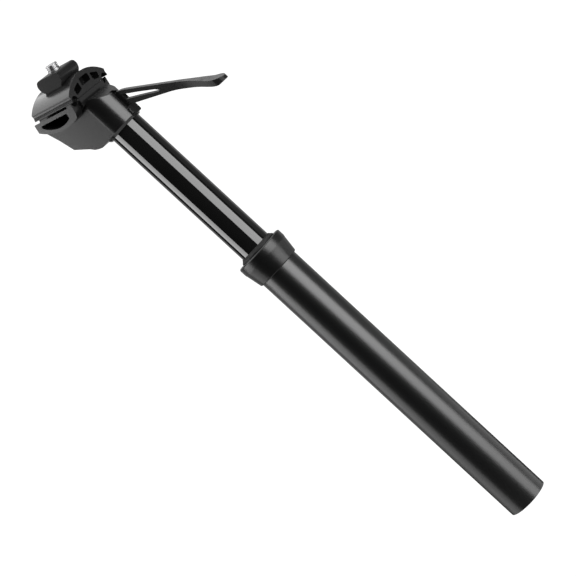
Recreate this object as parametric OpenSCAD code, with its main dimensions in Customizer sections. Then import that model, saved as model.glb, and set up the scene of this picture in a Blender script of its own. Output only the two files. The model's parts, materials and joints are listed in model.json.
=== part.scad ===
// Dropper seatpost with an under-saddle release lever.
// +Z runs up the post and +X points forward, to the lever's side.
// The origin is the centre of the outer tube's lower end.
// The post is drawn fully extended, with the lever at rest.

/* [Post travel] */
// Travel of the post between fully extended and fully dropped
travel = 115; // [80:1:150]
// Stanchion that stays in sight when the post is fully dropped
drop_clearance = 5.3; // [3:0.1:12]
// Length of stanchion held inside the outer tube at full extension, counted from the wiper's lip
post_overlap = 115; // [95:0.1:140]
// Height of the dropped stanchion above the outer tube's lower end
bottom_room = 28.4; // [26.5:0.1:60]

/* [Outer tube] */
// Outside diameter of the outer tube, the size of the frame's seat tube
tube_od = 31.6; // [30.9:0.1:34.9]
// Wall of the outer tube
tube_wall = 1.6; // [1.4:0.1:2]
// Depth of the thread neck at the top of the outer tube
neck_depth = 0.5; // [0.4:0.05:0.6]
// Length of the thread neck under the collar
neck_len = 10.5; // [8:0.5:12]

/* [Collar and seals] */
// Height of the collar
collar_h = 18.8; // [17:0.1:26]
// Diameter of the collar's plain upper band
collar_od = 38.8; // [36:0.1:44]
// Diameter of the collar where it meets the tube
collar_base_od = 34.4; // [33.5:0.1:36]
// Height of the collar's plain upper band
collar_band_h = 6.8; // [4:0.1:10]
// Height of the wiper's lip above the collar
wiper_rise = 3.1; // [2:0.1:5]
// Length of the upper bushing
bushing_len = 25; // [15:1:35]

/* [Stanchion] */
// Diameter of the sliding stanchion
post_od = 25; // [24:0.1:26.5]
// Wall of the stanchion
post_wall = 1.6; // [1.2:0.1:2]
// Length of the guide sleeve at the stanchion's lower end
guide_len = 22; // [18:1:28]
// Diameter of the anti-rotation keys
key_d = 3; // [2.6:0.1:3.2]
// Length of the anti-rotation keys
key_len = 14; // [8:1:16]
// Number of anti-rotation keys
key_count = 3; // [2:1:4]

/* [Gas spring] */
// Outside diameter of the piston rod
rod_d = 10; // [8:0.5:11]
// Inside diameter of the liner that the piston runs in
liner_bore = 16; // [15:0.1:16.4]
// Wall of the liner
liner_wall = 1; // [0.8:0.1:1.1]
// Wall of the gas cylinder
cylinder_wall = 1.15; // [0.9:0.05:1.2]
// Height of the piston
piston_h = 10; // [8:0.5:14]
// Height of the rod guide at the cylinder's lower end
guide_h = 12; // [9:0.5:16]
// Diameter of the valve pin
valve_pin_d = 4; // [3:0.1:5]
// Wire diameter of the valve spring
spring_wire = 0.9; // [0.7:0.1:1.1]
// Number of turns of the valve spring
spring_turns = 6; // [4:1:7]

/* [Head] */
// Outside diameter of the head's socket
socket_od = 31; // [30:0.1:34]
// Height of the head's socket at its front
socket_h = 21.3; // [20:0.1:23]
// Depth to which the stanchion is held in the socket
socket_depth = 13.3; // [11:0.1:14]
// Distance that the clamp sits behind the post's axis
setback = 12.9; // [10:0.1:16]
// Height of the saddle rails' centre above the socket's rim
clamp_rise = 41; // [40:0.1:46]
// Forward dip of the saddle rails against the square of the post
clamp_tilt = 19; // [14:0.5:22]
// Width of the head under the clamp
cradle_w = 35; // [32:0.5:38]
// Thickness of the cradle's floor
floor_t = 5.7; // [5:0.1:6.5]

/* [Rail clamp] */
// Diameter of the saddle rails
rail_d = 7; // [7:0.1:7.6]
// Distance between the two saddle rails
rail_gauge = 44; // [43:0.5:46]
// Length of the clamp along the rails
clamp_len = 35; // [32:0.5:38]
// Wall of the clamp outside the rails
rail_lip = 1; // [0.8:0.1:2]
// Height of the upper clamp's dome above the rails' centre
dome_h = 14.1; // [13:0.1:17]
// Height of the upper clamp's straight sides above the rails' centre
dome_side_h = 5.1; // [4.5:0.1:6]
// Radius of the lower clamp's round seat
seat_r = 30; // [28:0.5:32]
// Depth of the lower clamp below the rails' centre
lower_depth = 12; // [11:0.1:13]
// Gap between the upper and lower clamp
jaw_gap = 0.3; // [0.3:0.1:1]
// Diameter of the clamp bolt
bolt_d = 5; // [4.5:0.1:6]
// Length of the rocker washer across the clamp
rocker_len = 26; // [20:0.5:28]
// Half the width of the rocker washer along the rails
rocker_r = 10.3; // [9.5:0.1:11]
// Height of the rocker washer's flat top above the rails' centre
rocker_top = 22.2; // [20.5:0.1:24]

/* [Release lever] */
// Distance of the paddle's tip in front of the lever's pivot
lever_reach = 74; // [60:1:90]
// Depth of the paddle's tip below the lever's pivot
lever_drop = 46.6; // [40:0.2:50]
// Width of the lever's legs
lever_w = 4.2; // [3.6:0.1:5]
// Width of the lever's paddle
paddle_w = 12; // [10:0.5:18]
// Length over which the lever widens to its paddle and rounds off, counted from the tip
paddle_len = 31; // [24:0.5:36]
// Distance of the lever's pivot in front of the post's axis
pivot_x = 10.5; // [9.5:0.1:11]
// Height of the lever's pivot above the stanchion's end
pivot_up = 3.6; // [3.4:0.1:4]
// Diameter of the lever's pivot pin
pivot_d = 3; // [2.5:0.1:3.4]
// Length of the lever's pivot pin
pivot_len = 16; // [12:0.5:20]

/* [Hidden] */
$fn = 96;

// Clearances
run_gap = 0.05;
fit_gap = 0.02;
move_gap = 0.3;
cut_over = 1;

// Tube and collar
tube_r = tube_od / 2;
tube_ir = tube_r - tube_wall;
post_r = post_od / 2;
post_ir = post_r - post_wall;
wiper_top = bottom_room + travel + post_overlap;
collar_top = wiper_top - wiper_rise;
insert_len = collar_top - collar_h;
tube_top = insert_len + neck_len;
neck_r = tube_r - neck_depth;
collar_r = collar_od / 2;
collar_edge = 0.8;
foam_h = 3;
seal_seat_z = tube_top + foam_h;
seal_seat_r = (post_r + neck_r) / 2 + 0.7;
foam_r = seal_seat_r - 0.2;
bushing_r = post_r + run_gap;

// Bottom end of the outer tube
ring_z = 2.2;
ring_t = 1.6;
ring_groove = 0.7;
ring_band = 2.6;
ring_opening = 40;
plug_z = ring_z + ring_t;
plug_h = 12;
plug_top = plug_z + plug_h;
rod_bolt_r = 3;
rod_bolt_head_r = 5;
rod_bolt_head_h = 5;
rod_bolt_grip = 14;
plug_floor_z = plug_top - 5.5;
bumper_h = 10;
bumper_wall = 4;

// Stanchion and its guide
post_bottom = bottom_room + travel;
socket_z = wiper_top + travel + drop_clearance;
post_top = socket_z + socket_depth;
guide_z = post_bottom + 2;
guide_r = tube_ir - 2 * run_gap;
key_pitch_r = (post_r + tube_ir) / 2;
key_z = guide_z + (guide_len - key_len) / 2;
key_groove_z = plug_top + bumper_h;

// Gas spring
rod_r = rod_d / 2;
liner_r = liner_bore / 2;
cylinder_r = post_ir - run_gap;
cylinder_ir = cylinder_r - cylinder_wall;
retainer_h = 6;
cylinder_z = post_bottom + retainer_h;
spigot_h = 2;
guide_top = cylinder_z + guide_h;
piston_z = guide_top + spigot_h + move_gap;
piston_nut_h = 4;
spindle_r = rod_r * 0.6;
drop_room = 3;
rod_top = piston_z + piston_h + piston_nut_h;
valve_seat_z = rod_top + travel + spigot_h + drop_room;
valve_body_h = 14;
cylinder_top = valve_seat_z + valve_body_h;
valve_neck_r = 5.5;
valve_neck_top = post_top - 20;
spacer_ir = 7.5;
pin_r = valve_pin_d / 2;
pin_top = post_top - 0.5;
pin_flange_r = 6;
pin_flange_t = 1.5;
pin_flange_z = post_top - 7;
pin_bottom = valve_seat_z + 5;
seal_wire = 1.8;

// Head
socket_r = socket_od / 2;
rim_h = 1.8;
rim_in = 1.6;
seat_gap = move_gap;
cradle_x = -setback;
cradle_z = socket_z + clamp_rise;
seat_up = seat_r - lower_depth;
floor_r = seat_r + seat_gap + floor_t;
roof_t = 2.2;
cavity_w = 18;
slot_w = lever_w + 2 * 0.4;
slot_back = 6;
slot_top = 10;
flare = 1;
flare_in = 0.05;
boss_w = 9.8;
boss_out = 1.6;
boss_low = 0.4;
boss_corner = 1.5;

// Rail clamp
clamp_half = rail_gauge / 2 + rail_d / 2 + rail_lip;
rail_r = rail_d / 2;
dome_rise = dome_h - dome_side_h;
dome_r = (clamp_half * clamp_half + dome_rise * dome_rise) / (2 * dome_rise);
rocker_deep = 13;
bolt_r = bolt_d / 2;
bolt_hole_r = bolt_r + move_gap;
flat_washer_t = 0.6;
flat_washer_r = bolt_d;
lock_washer_t = 0.8;
lock_washer_r = 0.86 * bolt_d;
bolt_head_z = rocker_top + flat_washer_t + lock_washer_t;
bolt_head_r = 0.88 * bolt_d;
bolt_head_h = 0.76 * bolt_d;
bolt_bevel = 0.6;
nut_gap = move_gap;
nut_bottom = lower_depth + floor_t + 6.3;
nut_w = 16;
nut_len = 8;
bolt_tip = 0.5;
swing_room = bolt_r + 4;

// Lever
pivot_z = post_top + pivot_up;
pivot_r = pivot_d / 2;
nose_gap = 0.3;
eye_r = 3;
lever_foot = 2.8 * eye_r;
sill_z = pivot_z - lever_foot - 0.5;
boss_high = sill_z - socket_z - 0.6;

// A point of the clamp's frame (r along the rails, b square to them) in the post's side view
function clamp_point(r, b) = [
    cradle_x + r * cos(clamp_tilt) + b * sin(clamp_tilt),
    cradle_z - r * sin(clamp_tilt) + b * cos(clamp_tilt)
];

// Points of a smooth curve through a list of points
function curve_point(a, b, c, d, t) = 0.5 * (2 * b + (c - a) * t + (2 * a - 5 * b + 4 * c - d) * t * t
    + (3 * b - a - 3 * c + d) * t * t * t);
function curve(p, steps = 5) = [
    for (i = [0 : len(p) - 2]) for (k = [0 : steps - 1])
        curve_point(p[max(i - 1, 0)], p[i], p[i + 1], p[min(i + 2, len(p) - 1)], k / steps),
    p[len(p) - 1]
];
function backwards(p) = [for (i = [len(p) - 1 : -1 : 0]) p[i]];

module ring(r_out, r_in, z0, z1) {
    translate([0, 0, z0])
        difference() {
            cylinder(r = r_out, h = z1 - z0);
            translate([0, 0, -cut_over]) cylinder(r = r_in, h = z1 - z0 + 2 * cut_over);
        }
}

module rod(r, z0, z1) {
    translate([0, 0, z0]) cylinder(r = r, h = z1 - z0);
}

module o_ring(r_mean, z) {
    translate([0, 0, z]) rotate_extrude() translate([r_mean, 0]) circle(d = seal_wire, $fn = 48);
}

module hex_prism(across, z0, z1) {
    translate([0, 0, z0]) cylinder(d = across / cos(30), h = z1 - z0, $fn = 6);
}

// Places what is drawn around the rails' centre: X along the rails, Y across, Z along the clamp bolt
module at_clamp() {
    translate([cradle_x, 0, cradle_z]) rotate([0, clamp_tilt, 0]) children();
}

// Extrudes a side view, drawn in X and Z, to a width centred on the part's plane of symmetry
module side_plate(w) {
    translate([0, w / 2, 0]) rotate([90, 0, 0]) linear_extrude(height = w) children();
}

// Extrudes a front view, drawn in Y and Z, from x0 to x1
module front_plate(x0, x1) {
    translate([x0, 0, 0]) rotate([90, 0, 90]) linear_extrude(height = x1 - x0) children();
}

// A cylinder across the part, about a point of the side view
module cross_rod(r, x, z, w) {
    translate([x, w / 2, z]) rotate([90, 0, 0]) cylinder(r = r, h = w);
}

// Grooves or keys spaced around the post
module key_set(r, z0, z1) {
    for (i = [0 : key_count - 1])
        rotate([0, 0, 90 + i * 360 / key_count]) translate([key_pitch_r, 0, 0]) rod(r, z0, z1);
}

module outer_tube() {
    color([0.07, 0.07, 0.075])
        difference() {
            union() {
                rod(tube_r, 0, insert_len);
                rod(neck_r, insert_len, tube_top);
            }
            rod(tube_ir, -cut_over, tube_top + cut_over);
            rod(tube_ir + ring_groove, ring_z, ring_z + ring_t);
            key_set(key_d / 2 + run_gap, key_groove_z, tube_top + cut_over);
        }
}

module seal_collar() {
    base_r = collar_base_od / 2;
    thread_r = neck_r + fit_gap;
    color([0.06, 0.06, 0.065])
        rotate_extrude()
            polygon([
                [thread_r, insert_len],
                [base_r - collar_edge / 2, insert_len],
                [base_r, insert_len + collar_edge / 2],
                [base_r + (collar_r - base_r) * 0.42, insert_len + (collar_h - collar_band_h) * 0.5],
                [collar_r - collar_edge / 2, collar_top - collar_band_h - collar_edge / 2],
                [collar_r, collar_top - collar_band_h + collar_edge],
                [collar_r, collar_top - collar_edge],
                [collar_r - collar_edge, collar_top],
                [seal_seat_r, collar_top],
                [seal_seat_r, tube_top],
                [thread_r, tube_top],
            ]);
}

module wiper_seal() {
    inner = post_r + run_gap;
    lip_r = inner + 0.45;
    color([0.05, 0.05, 0.05])
        rotate_extrude()
            polygon([
                [inner, seal_seat_z],
                [seal_seat_r - fit_gap, seal_seat_z],
                [seal_seat_r - fit_gap, collar_top],
                [seal_seat_r + 0.4, collar_top],
                [seal_seat_r + 0.4, collar_top + wiper_rise * 0.3],
                [lip_r + 0.5, wiper_top - wiper_rise * 0.25],
                [lip_r, wiper_top],
                [inner, wiper_top],
            ]);
}

module foam_ring() {
    color([0.25, 0.24, 0.2]) ring(foam_r, post_r + run_gap, tube_top, seal_seat_z);
}

module upper_bushing() {
    color([0.55, 0.53, 0.42]) ring(tube_ir - fit_gap, bushing_r, tube_top - bushing_len, tube_top);
}

module bottom_plug() {
    color([0.2, 0.2, 0.21])
        difference() {
            rod(tube_ir - fit_gap, plug_z, plug_top);
            rod(rod_bolt_head_r + 0.6, plug_z - cut_over, plug_floor_z);
            rod(rod_bolt_r + 0.2, plug_z, plug_top + cut_over);
        }
}

module retaining_ring() {
    ring_r = tube_ir + ring_groove - fit_gap;
    color([0.5, 0.5, 0.52])
        difference() {
            ring(ring_r, tube_ir - ring_band, ring_z, ring_z + ring_t);
            translate([0, 0, ring_z - cut_over])
                linear_extrude(height = ring_t + 2 * cut_over)
                    polygon([
                        [0, 0],
                        2 * ring_r * [cos(ring_opening / 2), sin(ring_opening / 2)],
                        2 * ring_r * [cos(ring_opening / 2), -sin(ring_opening / 2)],
                    ]);
        }
}

module rod_bolt() {
    head_z = plug_floor_z - rod_bolt_head_h;
    color([0.62, 0.62, 0.64])
        difference() {
            union() {
                rod(rod_bolt_head_r, head_z, plug_floor_z);
                rod(rod_bolt_r, plug_floor_z, plug_top + rod_bolt_grip);
            }
            hex_prism(5, head_z - cut_over, head_z + rod_bolt_head_h * 0.6);
        }
}

module piston_rod() {
    color([0.75, 0.76, 0.78])
        difference() {
            union() {
                rod(rod_r, plug_top, piston_z);
                rod(spindle_r, piston_z, rod_top);
            }
            rod(rod_bolt_r + fit_gap, plug_top - cut_over, plug_top + rod_bolt_grip + cut_over);
        }
}

module piston() {
    color([0.7, 0.68, 0.6])
        difference() {
            ring(liner_r - run_gap, spindle_r + fit_gap, piston_z, piston_z + piston_h);
            o_ring(liner_r - run_gap - seal_wire / 2 + 0.02, piston_z + piston_h / 2);
        }
}

module piston_seal() {
    color([0.04, 0.04, 0.04]) o_ring(liner_r - run_gap - seal_wire / 2, piston_z + piston_h / 2);
}

module piston_nut() {
    color([0.6, 0.6, 0.62])
        difference() {
            hex_prism(min(11, liner_bore * 0.7), piston_z + piston_h, rod_top);
            rod(spindle_r + fit_gap, piston_z, rod_top + cut_over);
        }
}

module bottom_bumper() {
    color([0.12, 0.12, 0.12]) ring(rod_r + bumper_wall, rod_r + run_gap, plug_top, plug_top + bumper_h);
}

module stanchion() {
    color([0.02, 0.02, 0.022])
        difference() {
            ring(post_r, post_ir, post_bottom, post_top);
            key_set(key_d / 2 + run_gap, key_z, key_z + key_len);
        }
}

module guide_sleeve() {
    color([0.5, 0.5, 0.48])
        difference() {
            ring(guide_r, post_r + fit_gap, guide_z, guide_z + guide_len);
            key_set(key_d / 2 + run_gap, key_z, key_z + key_len);
        }
}

module anti_rotation_keys() {
    color([0.75, 0.6, 0.25]) key_set(key_d / 2, key_z, key_z + key_len);
}

module cylinder_retainer() {
    color([0.3, 0.3, 0.31]) ring(post_ir - fit_gap, rod_r + 0.6, post_bottom, cylinder_z);
}

module gas_cylinder() {
    color([0.45, 0.46, 0.48])
        difference() {
            rod(cylinder_r, cylinder_z, cylinder_top + cylinder_wall);
            rod(cylinder_ir, cylinder_z - cut_over, cylinder_top);
            rod(valve_neck_r + fit_gap, cylinder_top - cut_over, cylinder_top + cylinder_wall + cut_over);
        }
}

module liner() {
    color([0.7, 0.7, 0.72]) ring(liner_r + liner_wall, liner_r, guide_top, valve_seat_z);
}

module rod_guide() {
    color([0.35, 0.35, 0.36])
        difference() {
            union() {
                rod(cylinder_ir - fit_gap, cylinder_z, guide_top);
                rod(liner_r - fit_gap, guide_top, guide_top + spigot_h);
            }
            rod(rod_r + run_gap, cylinder_z - cut_over, guide_top + spigot_h + cut_over);
            o_ring(rod_r + run_gap + seal_wire / 2 - 0.02, cylinder_z + guide_h / 2);
        }
}

module rod_seal() {
    color([0.04, 0.04, 0.04]) o_ring(rod_r + run_gap + seal_wire / 2, cylinder_z + guide_h / 2);
}

module valve_body() {
    color([0.72, 0.6, 0.3])
        difference() {
            union() {
                rod(liner_r - fit_gap, valve_seat_z - spigot_h, valve_seat_z);
                rod(cylinder_ir - fit_gap, valve_seat_z, cylinder_top);
                rod(valve_neck_r, cylinder_top, valve_neck_top);
            }
            rod(pin_r + run_gap, valve_seat_z, valve_neck_top + cut_over);
        }
}

module cylinder_spacer() {
    color([0.25, 0.25, 0.26]) ring(cylinder_r, spacer_ir, cylinder_top + cylinder_wall, post_top);
}

// Outline of the head seen from the side, from the rim's front up over the cradle and down the heel
module head_outline() {
    heel = [-socket_r - 16.7, socket_z + 15.8];
    rear_low = clamp_point(-clamp_len / 2 - 5.9, -10.4);
    polygon([
        [socket_r + 1, socket_z + rim_h],
        [socket_r + 1, socket_z + socket_h - 0.9],
        clamp_point(clamp_len / 2 + 1.5, -3.2),
        clamp_point(-clamp_len / 2 - 1.5, -3.2),
        rear_low,
        (heel + rear_low) / 2 + [0.4, 0.2],
        heel,
        [-socket_r - 7.2, socket_z + 7.8],
        [-socket_r - 4.6, socket_z + 4.7],
        [-socket_r - 1.7, socket_z + rim_h + 1.2],
        [-socket_r + 1, socket_z + rim_h],
    ]);
}

// Plan of the head: round around the post, with flat sides that spread to the rear
module head_plan() {
    touch = (socket_r - flare_in) * [sin(flare), cos(flare)];
    rear = touch + 2 * clamp_len * [-cos(flare), sin(flare)];
    translate([0, 0, socket_z]) linear_extrude(height = clamp_rise + 10)
        union() {
            circle(r = socket_r);
            polygon([touch, rear, [rear[0], -rear[1]], [touch[0], -touch[1]]]);
        }
}

// Room under the cradle's floor for the clamp nut, open downwards behind the socket
module nut_cavity() {
    roof_z = post_top + roof_t;
    back_x = -post_r - 2.3;
    side_plate(cavity_w)
        polygon([
            [back_x, socket_z - cut_over],
            [back_x, roof_z],
            [back_x + 4.3, roof_z],
            [back_x + 4.3, cradle_z - 6],
            clamp_point(-15, -9),
            [-socket_r - 14, socket_z + 20],
            [-socket_r - 10, socket_z - cut_over],
        ]);
}

// Low boss on the front of the socket, under the lever
module front_boss() {
    high = boss_high - boss_low - 2 * boss_corner;
    wide = boss_w / 2 - boss_corner;
    front_plate(post_r + 1, socket_r + boss_out)
        translate([0, socket_z + boss_low + boss_corner])
            union() {
                translate([-boss_w / 2, 0]) square([boss_w, high]);
                translate([-wide, -boss_corner]) square([2 * wide, high + 2 * boss_corner]);
                for (y = [-wide, wide]) for (z = [0, high]) translate([y, z]) circle(r = boss_corner);
            }
}

module head() {
    seat = clamp_point(0, seat_up);
    color([0.09, 0.09, 0.095])
        difference() {
            union() {
                translate([0, 0, socket_z]) cylinder(r1 = socket_r - rim_in, r2 = socket_r, h = rim_h);
                intersection() {
                    side_plate(cradle_w) head_outline();
                    head_plan();
                }
                front_boss();
            }
            rod(post_r + fit_gap, socket_z - cut_over, post_top);
            cross_rod(seat_r + seat_gap, seat[0], seat[1], cradle_w + 2 * cut_over);
            difference() {
                nut_cavity();
                cross_rod(floor_r, seat[0], seat[1], cavity_w + 2 * cut_over);
            }
            at_clamp()
                translate([-swing_room, -bolt_hole_r, -lower_depth - floor_t - 4])
                    cube([2 * swing_room, 2 * bolt_hole_r, floor_t + 8]);
            translate([post_r + 0.4, -slot_w / 2, sill_z])
                cube([socket_r, slot_w, clamp_rise]);
            translate([-slot_back, -slot_w / 2, post_top - cut_over])
                cube([socket_r + slot_back, slot_w, slot_top + cut_over]);
            translate([0, socket_r / 2, 0])
                cross_rod(pivot_r + fit_gap, pivot_x, pivot_z, pivot_len + socket_r);
        }
}

module pivot_pin() {
    color([0.6, 0.6, 0.62]) cross_rod(pivot_r, pivot_x, pivot_z, pivot_len);
}

// A point of the lever's side view: a share of the way from the pivot to the tip, and a height off that line
function lever_point(share, height) = let (
        tip = [lever_reach, -lever_drop],
        square = [lever_drop, lever_reach] / norm(tip)
    ) share * tip + height * square;

// Side view of the lever about its pivot: a nose over the valve pin, two legs and the paddle
module lever_outline() {
    nose = [-pivot_x, pin_top + nose_gap - pivot_z];
    top = curve([
        nose + [-2.5, 1.5], nose + [-1.5, 3.6],
        eye_r * [-1.3, 0.87], eye_r * [0.5, 1.2], eye_r * [2, 1.13],
        lever_point(0.1, 6.9), lever_point(0.21, 6.5), lever_point(0.434, 5.4), lever_point(0.624, 4.4),
        lever_point(0.785, 2.75), lever_point(0.877, 1.65), lever_point(0.971, 2.1), lever_point(0.989, 1.5),
    ]);
    bottom = curve([
        [1.8 * eye_r, -lever_foot],
        lever_point(0.193, -3.5), lever_point(0.43, -1.6), lever_point(0.559, -0.85),
        lever_point(0.684, -1.3), lever_point(0.768, -1.75), lever_point(0.851, -2.6),
        lever_point(0.912, -2.95),
        lever_point(0.958, -2.3), lever_point(1, 0),
    ]);
    difference() {
        polygon(concat(top, backwards(bottom), [
            [0.9 * eye_r, 1 - lever_foot], [0.9 * eye_r, -eye_r], [0, -eye_r], eye_r * [-1.05, -0.8],
            [nose[0] + 1.5 * eye_r, -0.85 * eye_r], nose + [2.2, 0], nose - [1.8, 0],
        ]));
        polygon(concat(
            curve([lever_point(0.088, 3.9), lever_point(0.229, 3.5), lever_point(0.381, 2.65)]),
            curve([
                lever_point(0.42, 1.65), lever_point(0.398, 0.65), lever_point(0.273, 0.5),
                lever_point(0.113, 0.1),
            ])
        ));
    }
}

// Plan of the lever: slim legs that widen to a round-ended paddle
module lever_plan() {
    half = lever_w / 2;
    wide = paddle_w / 2;
    widen = lever_reach - paddle_len;
    round_x = lever_reach - wide;
    function flare_point(share, width) = [widen + share * (round_x - widen), half + width * (wide - half)];
    side = concat(
        curve([
            flare_point(0, 0), flare_point(0.33, 0.1), flare_point(0.58, 0.42), flare_point(0.83, 0.84),
            flare_point(1, 1),
        ]),
        [for (a = [78 : -12 : 6]) [round_x + wide * cos(a), wide * sin(a)]]
    );
    other_side = backwards([for (p = side) [p[0], -p[1]]]);
    translate([pivot_x, 0, pivot_z - 1.5 * lever_drop]) linear_extrude(height = 2 * lever_drop)
        polygon(concat([[-2 * pivot_x, half]], side, other_side, [[-2 * pivot_x, -half]]));
}

module release_lever() {
    color([0.1, 0.1, 0.105])
        difference() {
            intersection() {
                side_plate(paddle_w + 2) translate([pivot_x, pivot_z]) lever_outline();
                lever_plan();
            }
            cross_rod(pivot_r + run_gap, pivot_x, pivot_z, paddle_w + 4);
        }
}

module valve_pin() {
    color([0.78, 0.78, 0.8]) {
        rod(pin_r, pin_bottom, pin_top);
        rod(pin_flange_r, pin_flange_z, pin_flange_z + pin_flange_t);
    }
}

// Valve spring: one unbroken helix between the valve body's neck and the pin's flange
spring_r = (pin_r + spacer_ir) / 2;
spring_rise = pin_flange_z - valve_neck_top - spring_wire - 2 * fit_gap;
spring_rings = 8 * spring_turns;
spring_sides = 6;
function spring_point(i, k) = let (
        turn = 45 * i,
        side = 360 * k / spring_sides,
        reach = spring_r + spring_wire / 2 * cos(side),
        level = valve_neck_top + fit_gap + spring_rise * i / spring_rings
    ) [
        reach * cos(turn),
        reach * sin(turn),
        level + spring_wire / 2 * (1 + sin(side))
    ];
echo(str("least gap between spring turns: ", spring_rise / spring_turns - spring_wire, " mm"));

module valve_spring() {
    last = spring_rings * spring_sides;
    color([0.7, 0.7, 0.72])
        polyhedron(
            points = [for (i = [0 : spring_rings]) for (k = [0 : spring_sides - 1]) spring_point(i, k)],
            faces = concat(
                [for (k = [1 : spring_sides - 2]) [0, k, k + 1]],
                [for (k = [1 : spring_sides - 2]) [last, last + k + 1, last + k]],
                [for (i = [0 : spring_rings - 1]) for (k = [0 : spring_sides - 1])
                    let (a = i * spring_sides + k, b = i * spring_sides + (k + 1) % spring_sides)
                        [a, a + spring_sides, b]],
                [for (i = [0 : spring_rings - 1]) for (k = [0 : spring_sides - 1])
                    let (a = i * spring_sides + k, b = i * spring_sides + (k + 1) % spring_sides)
                        [b, a + spring_sides, b + spring_sides]]
            )
        );
}

// The two round grooves that hold the saddle rails
module rail_grooves() {
    for (side = [-1, 1])
        translate([-clamp_len, side * rail_gauge / 2, 0])
            rotate([0, 90, 0]) cylinder(r = rail_r, h = 2 * clamp_len);
}

module bolt_hole() {
    translate([0, 0, -60]) cylinder(r = bolt_hole_r, h = 120);
}

// Side view of the lower clamp below the rails: a round underside between two ends
module lower_outline(r, centre, back, front) {
    intersection() {
        translate(centre) circle(r = r);
        translate([-back, -2 * lower_depth]) square([back + front, 2 * lower_depth - jaw_gap / 2]);
    }
}

// Pocket in the clamp's end, flat above and round below
module cheek_pocket(back, front) {
    end_rim = 4.5;
    front_rim = 6.7;
    top = -rail_r - 0.7;
    low = 1.1 - lower_depth;
    round_r = 0.6 * clamp_len;
    corner_r = 1;
    centre = [-1.9, low + round_r];
    x0 = end_rim - back;
    x1 = front - front_rim;
    from = 180 + acos((centre[0] - x0) / round_r);
    to = 360 - acos((x1 - centre[0]) / round_r);
    bends = 7;
    polygon(rounded(concat(
        [[x1, top], [x0, top]],
        [for (i = [0 : bends])
            let (a = from + (to - from) * i / bends) centre + round_r * [cos(a), sin(a)]]
    ), corner_r));
}

module lower_clamp() {
    cheek_r = seat_r + 4.9;
    cheek = [-0.9, cheek_r - lower_depth - 1.4];
    cheek_back = clamp_len / 2 + 2.4;
    cheek_front = clamp_len / 2 - 2.4;
    cheek_t = clamp_half - cradle_w / 2 - 0.5;
    nose_r = 0.63 * clamp_len;
    nose_x = cheek_front + 0.3 - nose_r;
    pocket_depth = 17;
    step = 1.5;
    step_w = clamp_half - rail_gauge / 2 - 1.5;
    ear = 6.5;
    color([0.1, 0.1, 0.105])
        at_clamp()
            difference() {
                union() {
                    side_plate(2 * clamp_half - 2 * cheek_t)
                        lower_outline(seat_r, [0, seat_up], clamp_len / 2, clamp_len / 2);
                    for (side = [-1, 1])
                        translate([0, side * (clamp_half - cheek_t / 2), 0])
                            side_plate(cheek_t)
                                intersection() {
                                    lower_outline(cheek_r, cheek, cheek_back, cheek_front);
                                    translate([nose_x, -0.2 * lower_depth]) circle(r = nose_r);
                                }
                }
                rail_grooves();
                bolt_hole();
                for (side = [-1, 1]) {
                    translate([0, side * (clamp_half + cut_over - (pocket_depth + cut_over) / 2), 0])
                        side_plate(pocket_depth + cut_over) cheek_pocket(cheek_back, cheek_front);
                    translate([-clamp_len, side * (clamp_half + cut_over - (step_w + cut_over) / 2), 0])
                        translate([0, -(step_w + cut_over) / 2, -jaw_gap / 2 - step])
                            cube([1.5 * clamp_len - ear, step_w + cut_over, step + jaw_gap]);
                }
            }
}

// Points of an outline with its corners rounded off, its points given anticlockwise
function rounded(p, r, steps = 4) = [
    for (i = [0 : len(p) - 1])
        let (
            here = p[i],
            back = p[(i + len(p) - 1) % len(p)] - here,
            ahead = p[(i + 1) % len(p)] - here,
            a = back / norm(back),
            b = ahead / norm(ahead),
            half = acos(a * b) / 2,
            centre = (a + b) / norm(a + b) * r / sin(half),
            start = a * r / tan(half) - centre,
            from = atan2(start[1], start[0]),
            sweep = 180 - 2 * half
        )
        for (k = [0 : steps])
            here + centre + r * [cos(from + sweep * k / steps), sin(from + sweep * k / steps)]
];

// End view of the rocker washer, flat above and round below, made larger all round for its seat
module rocker_profile(grow) {
    half = curve([
        for (share = [
            [0.72, 0], [0.89, 0.07], [0.99, 0.223], [1, 0.37], [0.94, 0.54],
            [0.806, 0.69], [0.64, 0.82], [0.417, 0.93], [0.204, 0.985], [0, 1],
        ])
            [share[0] * (rocker_r + grow), rocker_top - share[1] * (rocker_deep + grow)]
    ], 3);
    polygon(concat(half, [for (i = [len(half) - 2 : -1 : 0]) [-half[i][0], half[i][1]]]));
}

// The three pockets in the end face of the dome
module dome_pockets() {
    middle = 6.4;
    polygon(rounded([[-middle, 5], [middle, 5], [middle - 0.4, 10.4], [0.4 - middle, 10.4]], 1));
    for (side = [0, 1])
        mirror([side, 0]) polygon(rounded([[8.7, 3.5], [17.2, 2], [17.4, 6.6], [8.7, 9.2]], 1));
}

module upper_clamp() {
    pocket_depth = 5.5;
    cove_r = 3.2;
    cove_depth = 0.5;
    color([0.11, 0.11, 0.115])
        at_clamp()
            difference() {
                front_plate(-clamp_len / 2, clamp_len / 2)
                    intersection() {
                        translate([0, dome_h - dome_r]) circle(r = dome_r);
                        translate([-clamp_half, jaw_gap / 2]) square([2 * clamp_half, dome_h]);
                    }
                rail_grooves();
                bolt_hole();
                side_plate(rocker_len + 2 * fit_gap) rocker_profile(fit_gap);
                front_plate(clamp_len / 2 - pocket_depth, clamp_len / 2 + cut_over) dome_pockets();
                front_plate(-clamp_len / 2 - cut_over, pocket_depth - clamp_len / 2) dome_pockets();
                for (side = [0, 1])
                    mirror([0, side, 0])
                        front_plate(-clamp_len, clamp_len)
                            translate([clamp_half + cove_r - cove_depth, dome_side_h - 2.2]) circle(r = cove_r);
            }
}

module rocker_washer() {
    color([0.06, 0.06, 0.065])
        at_clamp()
            difference() {
                side_plate(rocker_len) rocker_profile(0);
                bolt_hole();
            }
}

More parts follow.
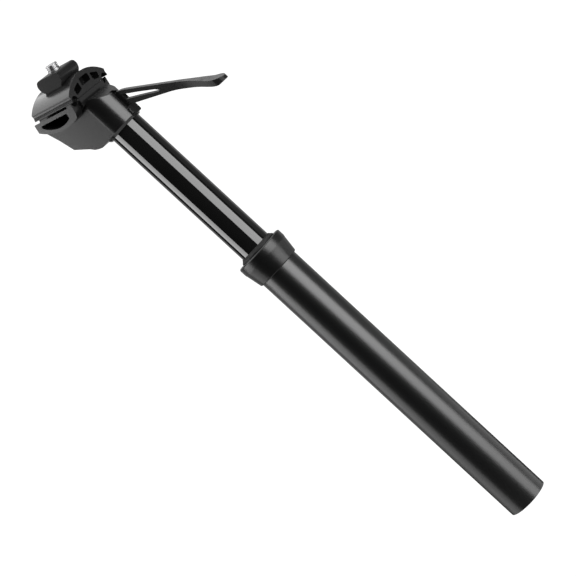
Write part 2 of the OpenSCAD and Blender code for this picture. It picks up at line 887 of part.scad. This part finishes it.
module flat_washer() {
    color([0.55, 0.55, 0.57])
        at_clamp() ring(flat_washer_r, bolt_hole_r, rocker_top, rocker_top + flat_washer_t);
}

module lock_washer() {
    z0 = rocker_top + flat_washer_t;
    color([0.4, 0.4, 0.42])
        at_clamp()
            difference() {
                ring(lock_washer_r, bolt_hole_r, z0, z0 + lock_washer_t);
                translate([0, -0.4, z0 - cut_over]) cube([10, 0.8, lock_washer_t + 2 * cut_over]);
            }
}

module clamp_bolt() {
    head_top = bolt_head_z + bolt_head_h;
    color([0.75, 0.75, 0.76])
        at_clamp()
            difference() {
                union() {
                    rod(bolt_r, -nut_bottom - bolt_tip, bolt_head_z);
                    rod(bolt_head_r, bolt_head_z, head_top - bolt_bevel);
                    translate([0, 0, head_top - bolt_bevel])
                        cylinder(r1 = bolt_head_r, r2 = bolt_head_r - bolt_bevel, h = bolt_bevel);
                }
                hex_prism(0.8 * bolt_d, head_top - 0.55 * bolt_head_h, head_top + cut_over);
            }
}

module clamp_nut() {
    color([0.4, 0.4, 0.42])
        at_clamp()
            difference() {
                translate([-nut_len / 2, -nut_w / 2, -nut_bottom])
                    cube([nut_len, nut_w, nut_bottom - lower_depth - floor_t / 2]);
                cross_rod(floor_r + nut_gap, 0, seat_up, nut_w + 2 * cut_over);
                translate([0, 0, -nut_bottom - cut_over]) cylinder(r = bolt_r + fit_gap, h = nut_bottom);
            }
}

outer_tube();
seal_collar();
wiper_seal();
foam_ring();
upper_bushing();
bottom_plug();
retaining_ring();
rod_bolt();
piston_rod();
piston();
piston_seal();
piston_nut();
bottom_bumper();
stanchion();
guide_sleeve();
anti_rotation_keys();
cylinder_retainer();
gas_cylinder();
liner();
rod_guide();
rod_seal();
valve_body();
cylinder_spacer();
head();
pivot_pin();
release_lever();
valve_pin();
valve_spring();
lower_clamp();
upper_clamp();
rocker_washer();
flat_washer();
lock_washer();
clamp_bolt();
clamp_nut();
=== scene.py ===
import json
import math

import bmesh
import bpy
from mathutils import Matrix, Vector


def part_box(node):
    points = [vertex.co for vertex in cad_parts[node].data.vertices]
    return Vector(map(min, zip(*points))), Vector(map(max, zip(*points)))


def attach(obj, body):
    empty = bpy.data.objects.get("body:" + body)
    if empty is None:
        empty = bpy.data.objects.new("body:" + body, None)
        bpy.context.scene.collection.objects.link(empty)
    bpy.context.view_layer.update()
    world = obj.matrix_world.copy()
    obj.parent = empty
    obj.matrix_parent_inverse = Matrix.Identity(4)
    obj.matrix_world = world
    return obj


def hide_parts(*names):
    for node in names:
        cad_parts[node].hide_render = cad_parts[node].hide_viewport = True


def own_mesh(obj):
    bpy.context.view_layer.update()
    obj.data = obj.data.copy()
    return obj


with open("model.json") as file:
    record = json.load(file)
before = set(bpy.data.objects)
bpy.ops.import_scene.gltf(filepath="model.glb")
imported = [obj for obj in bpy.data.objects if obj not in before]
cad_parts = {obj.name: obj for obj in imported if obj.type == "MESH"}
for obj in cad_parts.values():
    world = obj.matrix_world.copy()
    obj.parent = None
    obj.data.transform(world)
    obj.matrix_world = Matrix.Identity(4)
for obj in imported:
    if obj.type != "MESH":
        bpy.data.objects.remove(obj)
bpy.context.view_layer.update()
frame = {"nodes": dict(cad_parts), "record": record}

MM = 0.001

# Camera of the photograph
PHOTO_PX = 576
FOCAL_PX = 1758.4
SENSOR_MM = 36.0
CAMERA_AT = Vector((0.6924, -0.9920, 0.2945))
CAMERA_AIM = Vector((-0.004606, -0.003247, 0.222449))
CAMERA_ROLL_DEG = 47.318
CAMERA_AZ_DEG = 35.183

# Floor and backdrop
FLOOR_Z = -0.25
FLOOR_R = 0.60
FLOOR_SIDES = 96
BACKDROP = 1.1
AMBIENT = 0.015

# Upright light panels round the post: degrees to the camera's right, distance, half width in degrees, lower
# and upper edge, radiance. The left and right softboxes get dimmer towards the floor, as the stripes in the
# photograph do.
NEAR = 1.30
FAR = 1.60
PANELS = {
    "right_softbox": (44.5, NEAR, 24.5, 0.18, 1.00, 8.0),
    "right_softbox_low": (46.0, NEAR, 23.0, -0.10, 0.18, 7.6),
    "right_softbox_foot": (54.0, NEAR, 24.0, -0.55, -0.10, 4.6),
    "left_softbox": (-90.0, NEAR, 18.5, 0.18, 1.00, 6.6),
    "left_softbox_low": (-96.0, NEAR, 24.5, -0.10, 0.18, 2.5),
    "left_softbox_foot": (-96.0, NEAR, 24.5, -0.55, -0.10, 1.5),
    "left_rim": (-131.0, NEAR, 10.5, -0.55, -0.12, 0.5),
    "rear_softbox": (180.0, FAR, 50.0, -0.25, 2.20, 0.45),
    "right_fill": (110.0, FAR, 24.0, 0.15, 0.60, 0.2),
    "right_fill_low": (110.0, FAR, 24.0, -0.14, 0.15, 0.22),
    "right_fill_foot": (110.0, FAR, 24.0, -0.60, -0.14, 1.4),
}

# Top light, aimed a hair off straight down so that its turn is settled
TOP_LIGHT_AT = Vector((0, 0, 1.25))
TOP_LIGHT_AIM = Vector((0, 0.001, 0))
TOP_LIGHT_SIDE = 1.8
TOP_LIGHT_RADIANCE = 2.8

# Edges: points within WELD are joined, faces up to FLAT_DEG merged, edges above SHARP_DEG rounded by EDGE_R
WELD = 0.001 * MM
FLAT_DEG = 0.6
SHARP_DEG = 33.0
BEVEL_STEPS = 3
EDGE_R = {
    "head": 0.5 * MM,
    "lower_clamp": 0.4 * MM,
    "upper_clamp": 0.35 * MM,
    "rocker_washer": 0.5 * MM,
    "release_lever": 0.35 * MM,
    "seal_collar": 0.3 * MM,
    "outer_tube": 0.3 * MM,
    "bottom_plug": 0.3 * MM,
}

# Noise: the range of most of its values, how fine it is, and how it is drawn out round a turned piece
NOISE_LOW = 0.3
NOISE_HIGH = 0.7
COARSE = 2.0
MEDIUM = 3.0
FINE = 4.0
FINEST = 5.0
ROUND = (1, 1, 40)

# Anodising: size of its clouds of colour and strength of its grain
CLOUD = 30 * MM
GRAIN_BUMP = 0.5

# Bare metal and soft materials: depth and strength of the machining lines, strength of the grain
LINE_DEPTH = 0.01 * MM
LINE_BUMP = 0.4
SOFT_BUMP = 0.6

# Painted highlight on the faces that point up, standing in for the top light's reflection, in patches: how
# far up a face points where it starts and is full, size of its patches, least amount in them
HIGHLIGHT_FROM = 0.3
HIGHLIGHT_TO = 0.75
HIGHLIGHT_PATCH = 5 * MM
HIGHLIGHT_LEAST = 0.55

# Nodes with a finish of their own within their material slot; the lever's finish has a painted highlight on
# its up-facing faces
FINISH = {"release_lever": "lever_black", "rocker_washer": "rocker_black", "seal_collar": "collar_black"}

# Mesh pieces: points round a turned one, and the angle from which an edge is shaded sharp
TURN_STEPS = 48
CREASE_DEG = 35.0

# Clamp bolt: sizes of the CAD node, and two grooves round its head, each so far below the head's top
CLAMP_TILT = math.radians(19.0)
SHANK_R = 2.5 * MM
SHANK_TIP = 0.5 * MM
HEAD_R = 4.4 * MM
HEAD_H = 3.8 * MM
HEAD_BEVEL = 0.6 * MM
HEAD_EDGE = 0.2 * MM
GROOVES_DOWN = (3.0 * MM, 1.7 * MM)
GROOVE_DEPTH = 0.7 * MM
GROOVE_HALF = 0.26 * MM
GROOVE_SLOPE = 0.14 * MM
SOCKET_HALF = 2.0 * MM
SOCKET_DEPTH = 2.1 * MM
SOCKET_EDGE = 0.15 * MM

# Foam ring: its bore, the points round its section and the power that rounds them
FOAM_BORE = 12.55 * MM
FOAM_STEPS = 20
FOAM_POWER = 0.45

# Valve spring
SPRING_WIRE = 0.9 * MM
SPRING_TURNS = 6
SPRING_STEPS = 32
WIRE_SIDES = 12


# Camera, world, floor and lights
def add_camera():
    data = bpy.data.cameras.new("photo_camera")
    data.sensor_fit = "HORIZONTAL"
    data.sensor_width = SENSOR_MM
    data.lens = FOCAL_PX / PHOTO_PX * SENSOR_MM
    camera = bpy.data.objects.new("photo_camera", data)
    bpy.context.scene.collection.objects.link(camera)
    forward = (CAMERA_AIM - CAMERA_AT).normalized()
    right = forward.cross(Vector((0, 0, 1))).normalized()
    down = forward.cross(right)
    roll = math.radians(CAMERA_ROLL_DEG)
    image_right = math.cos(roll) * right + math.sin(roll) * down
    image_down = math.cos(roll) * down - math.sin(roll) * right
    axes = Matrix((image_right, -image_down, -forward)).transposed()
    camera.matrix_world = Matrix.Translation(CAMERA_AT) @ axes.to_4x4()
    bpy.context.scene.camera = camera


def white_background(tree, strength):
    node = tree.nodes.new("ShaderNodeBackground")
    node.inputs["Color"].default_value = grey(1)
    node.inputs["Strength"].default_value = strength
    return node.outputs["Background"]


def set_world():
    """White behind the part for the camera, dim for the light that reaches the part."""
    world = bpy.data.worlds.new("studio")
    world.use_nodes = True
    tree = world.node_tree
    tree.nodes.clear()
    out = tree.nodes.new("ShaderNodeOutputWorld")
    choose = tree.nodes.new("ShaderNodeMixShader")
    path = tree.nodes.new("ShaderNodeLightPath")
    tree.links.new(path.outputs["Is Camera Ray"], choose.inputs["Fac"])
    tree.links.new(white_background(tree, AMBIENT), choose.inputs[1])
    tree.links.new(white_background(tree, BACKDROP), choose.inputs[2])
    tree.links.new(choose.outputs["Shader"], out.inputs["Surface"])
    bpy.context.scene.world = world
    bpy.context.scene.view_settings.view_transform = "Standard"


def add_floor():
    """A white disc below the post that the camera and mirror reflections see."""
    mesh = bpy.data.meshes.new("floor")
    turns = [2 * math.pi * i / FLOOR_SIDES for i in range(FLOOR_SIDES)]
    rim = [(FLOOR_R * math.cos(turn), FLOOR_R * math.sin(turn), FLOOR_Z) for turn in turns]
    mesh.from_pydata(rim, [], [tuple(range(FLOOR_SIDES))])
    floor = bpy.data.objects.new("floor", mesh)
    bpy.context.scene.collection.objects.link(floor)
    floor.visible_diffuse = False
    floor.visible_shadow = False
    paper = bpy.data.materials.new("floor_paper")
    paper.use_nodes = True
    bsdf = paper.node_tree.nodes["Principled BSDF"]
    bsdf.inputs["Base Color"].default_value = grey(0)
    bsdf.inputs["Specular IOR Level"].default_value = 0.0
    bsdf.inputs["Emission Color"].default_value = grey(1)
    bsdf.inputs["Emission Strength"].default_value = BACKDROP
    mesh.materials.append(paper)


def area_light(name, place, towards, width, height, radiance):
    data = bpy.data.lights.new(name, "AREA")
    data.shape = "RECTANGLE"
    data.size = width
    data.size_y = height
    data.energy = radiance * math.pi * width * height
    light = bpy.data.objects.new(name, data)
    bpy.context.scene.collection.objects.link(light)
    facing = (towards - place).to_track_quat("-Z", "Y").to_matrix().to_4x4()
    light.matrix_world = Matrix.Translation(place) @ facing


def add_lights():
    for name, (turn, distance, half, low, high, radiance) in PANELS.items():
        angle = math.radians(CAMERA_AZ_DEG + turn)
        middle = (low + high) / 2
        place = Vector((math.sin(angle) * distance, -math.cos(angle) * distance, middle))
        width = 2 * distance * math.tan(math.radians(half))
        area_light(name, place, Vector((0, 0, middle)), width, high - low, radiance)
    side = TOP_LIGHT_SIDE
    area_light("top_softbox", TOP_LIGHT_AT, TOP_LIGHT_AIM, side, side, TOP_LIGHT_RADIANCE)


# Materials
def grey(value):
    return (value, value, value, 1)


def start_material(name):
    """A new material, its node tree, its shader, and the places and directions its nodes may read."""
    material = bpy.data.materials.new(name)
    material.use_nodes = True
    tree = material.node_tree
    coords = tree.nodes.new("ShaderNodeTexCoord").outputs
    return material, tree, tree.nodes["Principled BSDF"], coords


def noise(tree, coords, size, detail, stretch=None):
    """Noise whose spots are about size metres across, or size divided by stretch along each axis."""
    place = coords["Object"]
    if stretch:
        mapping = tree.nodes.new("ShaderNodeMapping")
        mapping.inputs["Scale"].default_value = stretch
        tree.links.new(place, mapping.inputs["Vector"])
        place = mapping.outputs["Vector"]
    node = tree.nodes.new("ShaderNodeTexNoise")
    node.inputs["Scale"].default_value = 1 / size
    node.inputs["Detail"].default_value = detail
    tree.links.new(place, node.inputs["Vector"])
    return node.outputs["Fac"]


def spread(tree, value, low, high):
    """Maps a noise value to low..high."""
    node = tree.nodes.new("ShaderNodeMapRange")
    node.inputs["From Min"].default_value = NOISE_LOW
    node.inputs["From Max"].default_value = NOISE_HIGH
    node.inputs["To Min"].default_value = low
    node.inputs["To Max"].default_value = high
    tree.links.new(value, node.inputs["Value"])
    return node.outputs["Result"]


def tint(tree, value, dark, light):
    """Colours a noise value from dark to light."""
    ramp = tree.nodes.new("ShaderNodeValToRGB")
    first, last = ramp.color_ramp.elements
    first.position = NOISE_LOW
    first.color = dark
    last.position = NOISE_HIGH
    last.color = light
    tree.links.new(value, ramp.inputs["Fac"])
    return ramp.outputs["Color"]


def bump(tree, height, depth, strength):
    node = tree.nodes.new("ShaderNodeBump")
    node.inputs["Distance"].default_value = depth
    node.inputs["Strength"].default_value = strength
    tree.links.new(height, node.inputs["Height"])
    return node.outputs["Normal"]


def painted_top_highlight(tree, coords, colour, top_highlight):
    """Paints a highlight on the faces that point up, standing in for the top light's reflection: lightens a
    colour to a light grey, in patches.
    """
    facing = tree.nodes.new("ShaderNodeSeparateXYZ")
    tree.links.new(coords["Normal"], facing.inputs["Vector"])
    amount = tree.nodes.new("ShaderNodeMapRange")
    amount.inputs["From Min"].default_value = HIGHLIGHT_FROM
    amount.inputs["From Max"].default_value = HIGHLIGHT_TO
    tree.links.new(facing.outputs["Z"], amount.inputs["Value"])
    patches = noise(tree, coords, HIGHLIGHT_PATCH, FINEST)
    tree.links.new(spread(tree, patches, HIGHLIGHT_LEAST, 1), amount.inputs["To Max"])
    mix = tree.nodes.new("ShaderNodeMix")
    mix.data_type = "RGBA"
    tree.links.new(amount.outputs["Result"], mix.inputs["Factor"])
    tree.links.new(colour, mix.inputs["A"])
    mix.inputs["B"].default_value = grey(top_highlight)
    return mix.outputs["Result"]


def anodised(name, dark, light, rough, grain, depth, stretch=None, gloss=0.5, top_highlight=None):
    """Black anodised aluminium: dyed oxide with a fine surface grain and, if asked, a painted highlight on
    the faces that point up.
    """
    material, tree, bsdf, coords = start_material(name)
    bsdf.inputs["Specular IOR Level"].default_value = gloss
    cloud = noise(tree, coords, CLOUD, MEDIUM)
    fine = noise(tree, coords, grain, COARSE, stretch)
    colour = tint(tree, cloud, grey(dark), grey(light))
    # painted highlight on the faces that point up, standing in for the top light's reflection
    if top_highlight:
        colour = painted_top_highlight(tree, coords, colour, top_highlight)
    tree.links.new(colour, bsdf.inputs["Base Color"])
    tree.links.new(spread(tree, fine, *rough), bsdf.inputs["Roughness"])
    tree.links.new(bump(tree, fine, depth, GRAIN_BUMP), bsdf.inputs["Normal"])
    return name, material


def bare_metal(name, dark, light, rough, grain, stretch=None):
    """Bare or plated metal with fine machining lines or plating grain."""
    material, tree, bsdf, coords = start_material(name)
    bsdf.inputs["Metallic"].default_value = 1
    lines = noise(tree, coords, grain, MEDIUM, stretch)
    tree.links.new(tint(tree, lines, dark, light), bsdf.inputs["Base Color"])
    tree.links.new(spread(tree, lines, *rough), bsdf.inputs["Roughness"])
    tree.links.new(bump(tree, lines, LINE_DEPTH, LINE_BUMP), bsdf.inputs["Normal"])
    return name, material


def soft_material(name, dark, light, rough, grain, depth, gloss=0.5):
    """Rubber, moulded plastic or foam."""
    material, tree, bsdf, coords = start_material(name)
    bsdf.inputs["Specular IOR Level"].default_value = gloss
    fine = noise(tree, coords, grain, FINE)
    tree.links.new(tint(tree, fine, dark, light), bsdf.inputs["Base Color"])
    tree.links.new(spread(tree, fine, *rough), bsdf.inputs["Roughness"])
    tree.links.new(bump(tree, fine, depth, SOFT_BUMP), bsdf.inputs["Normal"])
    return name, material


def make_materials():
    """All materials by their plain names, since Blender numbers a name that the frame already uses."""
    satin = {"dark": 0.0016, "light": 0.0024, "rough": (0.28, 0.33), "grain": 0.25 * MM, "depth": 0.004 * MM}
    blasted = {"rough": (0.22, 0.28), "grain": 0.22 * MM, "depth": 0.006 * MM}
    made = [
        anodised("satin_black", **satin),
        anodised("collar_black", **satin, gloss=0.34),
        anodised("gloss_black", dark=0.003, light=0.004, rough=(0.05, 0.08), grain=0.3 * MM,
                 depth=0.0004 * MM, stretch=ROUND),
        anodised("forged_black", dark=0.003, light=0.005, rough=(0.21, 0.27), grain=0.22 * MM,
                 depth=0.006 * MM, gloss=0.4),
        anodised("rocker_black", dark=0.007, light=0.011, **blasted, gloss=0.09),
        # the lever's up-facing faces get a painted highlight for the top light's reflection
        anodised("lever_black", dark=0.006, light=0.009, **blasted, gloss=0.07, top_highlight=0.075),
        bare_metal("plain_aluminium", dark=grey(0.50), light=grey(0.66), rough=(0.25, 0.4), grain=2 * MM,
                   stretch=ROUND),
        bare_metal("steel", dark=(0.18, 0.18, 0.185, 1), light=grey(0.30), rough=(0.36, 0.50),
                   grain=0.2 * MM),
        bare_metal("hard_chrome", dark=grey(0.74), light=grey(0.80), rough=(0.05, 0.09), grain=3 * MM,
                   stretch=ROUND),
        bare_metal("bushing", dark=(0.40, 0.36, 0.24, 1), light=(0.54, 0.50, 0.36, 1), rough=(0.4, 0.55),
                   grain=1 * MM),
        bare_metal("key_brass", dark=(0.60, 0.44, 0.18, 1), light=(0.76, 0.60, 0.30, 1), rough=(0.25, 0.4),
                   grain=2 * MM),
        soft_material("guide_plastic", dark=grey(0.14), light=grey(0.20), rough=(0.4, 0.55), grain=0.4 * MM,
                      depth=0.01 * MM),
        soft_material("foam", dark=(0.10, 0.09, 0.07, 1), light=(0.26, 0.24, 0.20, 1), rough=(0.8, 0.95),
                      grain=0.8 * MM, depth=0.3 * MM),
        soft_material("seal_rubber", dark=grey(0.003), light=grey(0.006), rough=(0.5, 0.65), grain=0.3 * MM,
                      depth=0.01 * MM, gloss=0.2),
    ]
    return dict(made)


def dress_nodes(materials):
    """Gives every CAD node its own finish or its slot's material, and hides the lever from reflections."""
    for row in frame["record"]["subparts"]:
        node = frame["nodes"][row["node"]]
        node.data.materials.clear()
        node.data.materials.append(materials[FINISH.get(row["node"], row["material_slot"])])
    frame["nodes"]["release_lever"].visible_glossy = False


# Edges
def soften(node, radius):
    """Rounds a node's sharp edges and shades its curved faces smoothly; the mesh itself stays as packed."""
    weld = node.modifiers.new("join_faces", "WELD")
    weld.merge_threshold = WELD
    flat = node.modifiers.new("flat_faces", "DECIMATE")
    flat.decimate_type = "DISSOLVE"
    flat.angle_limit = math.radians(FLAT_DEG)
    bevel = node.modifiers.new("edge_round", "BEVEL")
    bevel.width = radius
    bevel.segments = BEVEL_STEPS
    bevel.limit_method = "ANGLE"
    bevel.angle_limit = math.radians(SHARP_DEG)
    bevel.use_clamp_overlap = True
    normals = node.modifiers.new("shading", "WEIGHTED_NORMAL")
    normals.keep_sharp = False


# Turned and wound pieces
def make_piece(name, verts, faces, body, node, slot, materials):
    """A mesh piece that stands for a CAD node and moves with its body."""
    mesh = bpy.data.meshes.new(name)
    mesh.from_pydata(verts, [], faces)
    shell = bmesh.new()
    shell.from_mesh(mesh)
    bmesh.ops.recalc_face_normals(shell, faces=shell.faces)
    shell.to_mesh(mesh)
    shell.free()
    mesh.shade_smooth()
    mesh.set_sharp_from_angle(angle=math.radians(CREASE_DEG))
    mesh.materials.append(materials[slot])
    piece = bpy.data.objects.new(name, mesh)
    bpy.context.scene.collection.objects.link(piece)
    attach(piece, body)
    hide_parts(node)
    return piece


def skin(rings, sides, closed=False):
    """Quads between neighbouring rings of points, with flat caps unless the last ring meets the first."""
    faces = []
    for ring in range(rings if closed else rings - 1):
        a, b = ring * sides, (ring + 1) % rings * sides
        faces += [(a + i, a + (i + 1) % sides, b + (i + 1) % sides, b + i) for i in range(sides)]
    if not closed:
        faces += [tuple(range(sides)), tuple(range((rings - 1) * sides, rings * sides))]
    return faces


def hexagon(angle):
    """Distance from a hexagon's middle to its side at an angle, for one that is 2 across its flats."""
    sixth = math.pi / 3
    return 1 / math.cos(angle % sixth - sixth / 2)


def turned(rows, place, closed=False):
    """Points and faces of a turned solid; a row is radius, height and whether it is a hexagon."""
    verts = []
    for radius, height, is_hexagon in rows:
        for i in range(TURN_STEPS):
            angle = 2 * math.pi * i / TURN_STEPS
            reach = radius * hexagon(angle) if is_hexagon else radius
            verts.append(place @ Vector((reach * math.cos(angle), reach * math.sin(angle), height)))
    return verts, skin(len(rows), TURN_STEPS, closed)


def bolt_rows(top):
    """Outline of the clamp bolt from its tip to the floor of its socket."""
    under = top - HEAD_H
    groove_r = HEAD_R - GROOVE_DEPTH
    mouth = GROOVE_HALF + GROOVE_SLOPE
    rows = [(SHANK_R - SHANK_TIP, 0), (SHANK_R, SHANK_TIP), (SHANK_R, under)]
    rows += [(HEAD_R - HEAD_EDGE, under), (HEAD_R, under + HEAD_EDGE)]
    for down in GROOVES_DOWN:
        middle = top - down
        rows += [(HEAD_R, middle - mouth), (groove_r, middle - GROOVE_HALF)]
        rows += [(groove_r, middle + GROOVE_HALF), (HEAD_R, middle + mouth)]
    rows += [(HEAD_R, top - HEAD_BEVEL), (HEAD_R - HEAD_BEVEL, top)]
    socket = [(SOCKET_HALF + SOCKET_EDGE, top), (SOCKET_HALF, top - SOCKET_EDGE)]
    socket += [(SOCKET_HALF, top - SOCKET_DEPTH)]
    return [(r, z, False) for r, z in rows] + [(r, z, True) for r, z in socket]


def add_bolt(materials):
    """The clamp bolt on its tilted axis, with grooves round its head."""
    low, high = (Vector(corner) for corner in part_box("clamp_bolt"))
    lean, upright = math.sin(CLAMP_TILT), math.cos(CLAMP_TILT)
    tip = Vector((low.x + SHANK_R * upright, 0, low.z + SHANK_R * lean))
    top = (high.z - (HEAD_R - HEAD_BEVEL) * lean - tip.z) / upright
    place = Matrix.Translation(tip) @ Matrix.Rotation(CLAMP_TILT, 4, "Y")
    make_piece("clamp_screw", *turned(bolt_rows(top), place), "rail_clamp", "clamp_bolt", "steel", materials)


def swell(value):
    """Moves a value between -1 and 1 outwards, so that a circle becomes a full, round-cornered square."""
    return math.copysign(abs(value) ** FOAM_POWER, value)


def add_foam(materials):
    """A full, round-edged ring in the room of its CAD solid."""
    low, high = (Vector(corner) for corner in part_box("foam_ring"))
    half_w, half_h = (high.x - FOAM_BORE) / 2, (high.z - low.z) / 2
    rows = []
    for i in range(FOAM_STEPS):
        angle = 2 * math.pi * i / FOAM_STEPS
        radius = FOAM_BORE + half_w * (1 + swell(math.cos(angle)))
        height = low.z + half_h * (1 + swell(math.sin(angle)))
        rows.append((radius, height, False))
    verts, faces = turned(rows, Matrix(), closed=True)
    make_piece("foam_wick", verts, faces, "outer_post", "foam_ring", "foam", materials)


def coil_points(radius, start_z, rise, rings):
    """Rings of points round a wire that climbs by rise in a helix."""
    wire_r = SPRING_WIRE / 2
    climb = rise / SPRING_TURNS / (2 * math.pi)
    points = []
    for i in range(rings):
        turn = 2 * math.pi * i / SPRING_STEPS
        outward = Vector((math.cos(turn), math.sin(turn), 0))
        along = Vector((-radius * math.sin(turn), radius * math.cos(turn), climb)).normalized()
        across = outward.cross(along)
        centre = radius * outward + Vector((0, 0, start_z + rise * i / (rings - 1)))
        sides = [2 * math.pi * k / WIRE_SIDES for k in range(WIRE_SIDES)]
        points += [centre + wire_r * (math.cos(side) * outward + math.sin(side) * across) for side in sides]
    return points


def add_spring(materials):
    """Round-wire coil in the box of its CAD node, moving with the upper post."""
    low, high = (Vector(corner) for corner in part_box("valve_spring"))
    # The CAD wire is six-sided with a flat above and below, so its box ends short of the round wire
    end = SPRING_WIRE / 2 * math.sin(math.pi / 3)
    rings = SPRING_TURNS * SPRING_STEPS + 1
    verts = coil_points(high.x - SPRING_WIRE / 2, low.z + end, high.z - low.z - 2 * end, rings)
    faces = skin(rings, WIRE_SIDES)
    piece = make_piece("valve_coil", verts, faces, "upper_post", "valve_spring", "steel", materials)
    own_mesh(piece)


add_camera()
set_world()
add_floor()
add_lights()
materials = make_materials()
dress_nodes(materials)
add_bolt(materials)
add_foam(materials)
add_spring(materials)
for name, radius in EDGE_R.items():
    soften(frame["nodes"][name], radius)
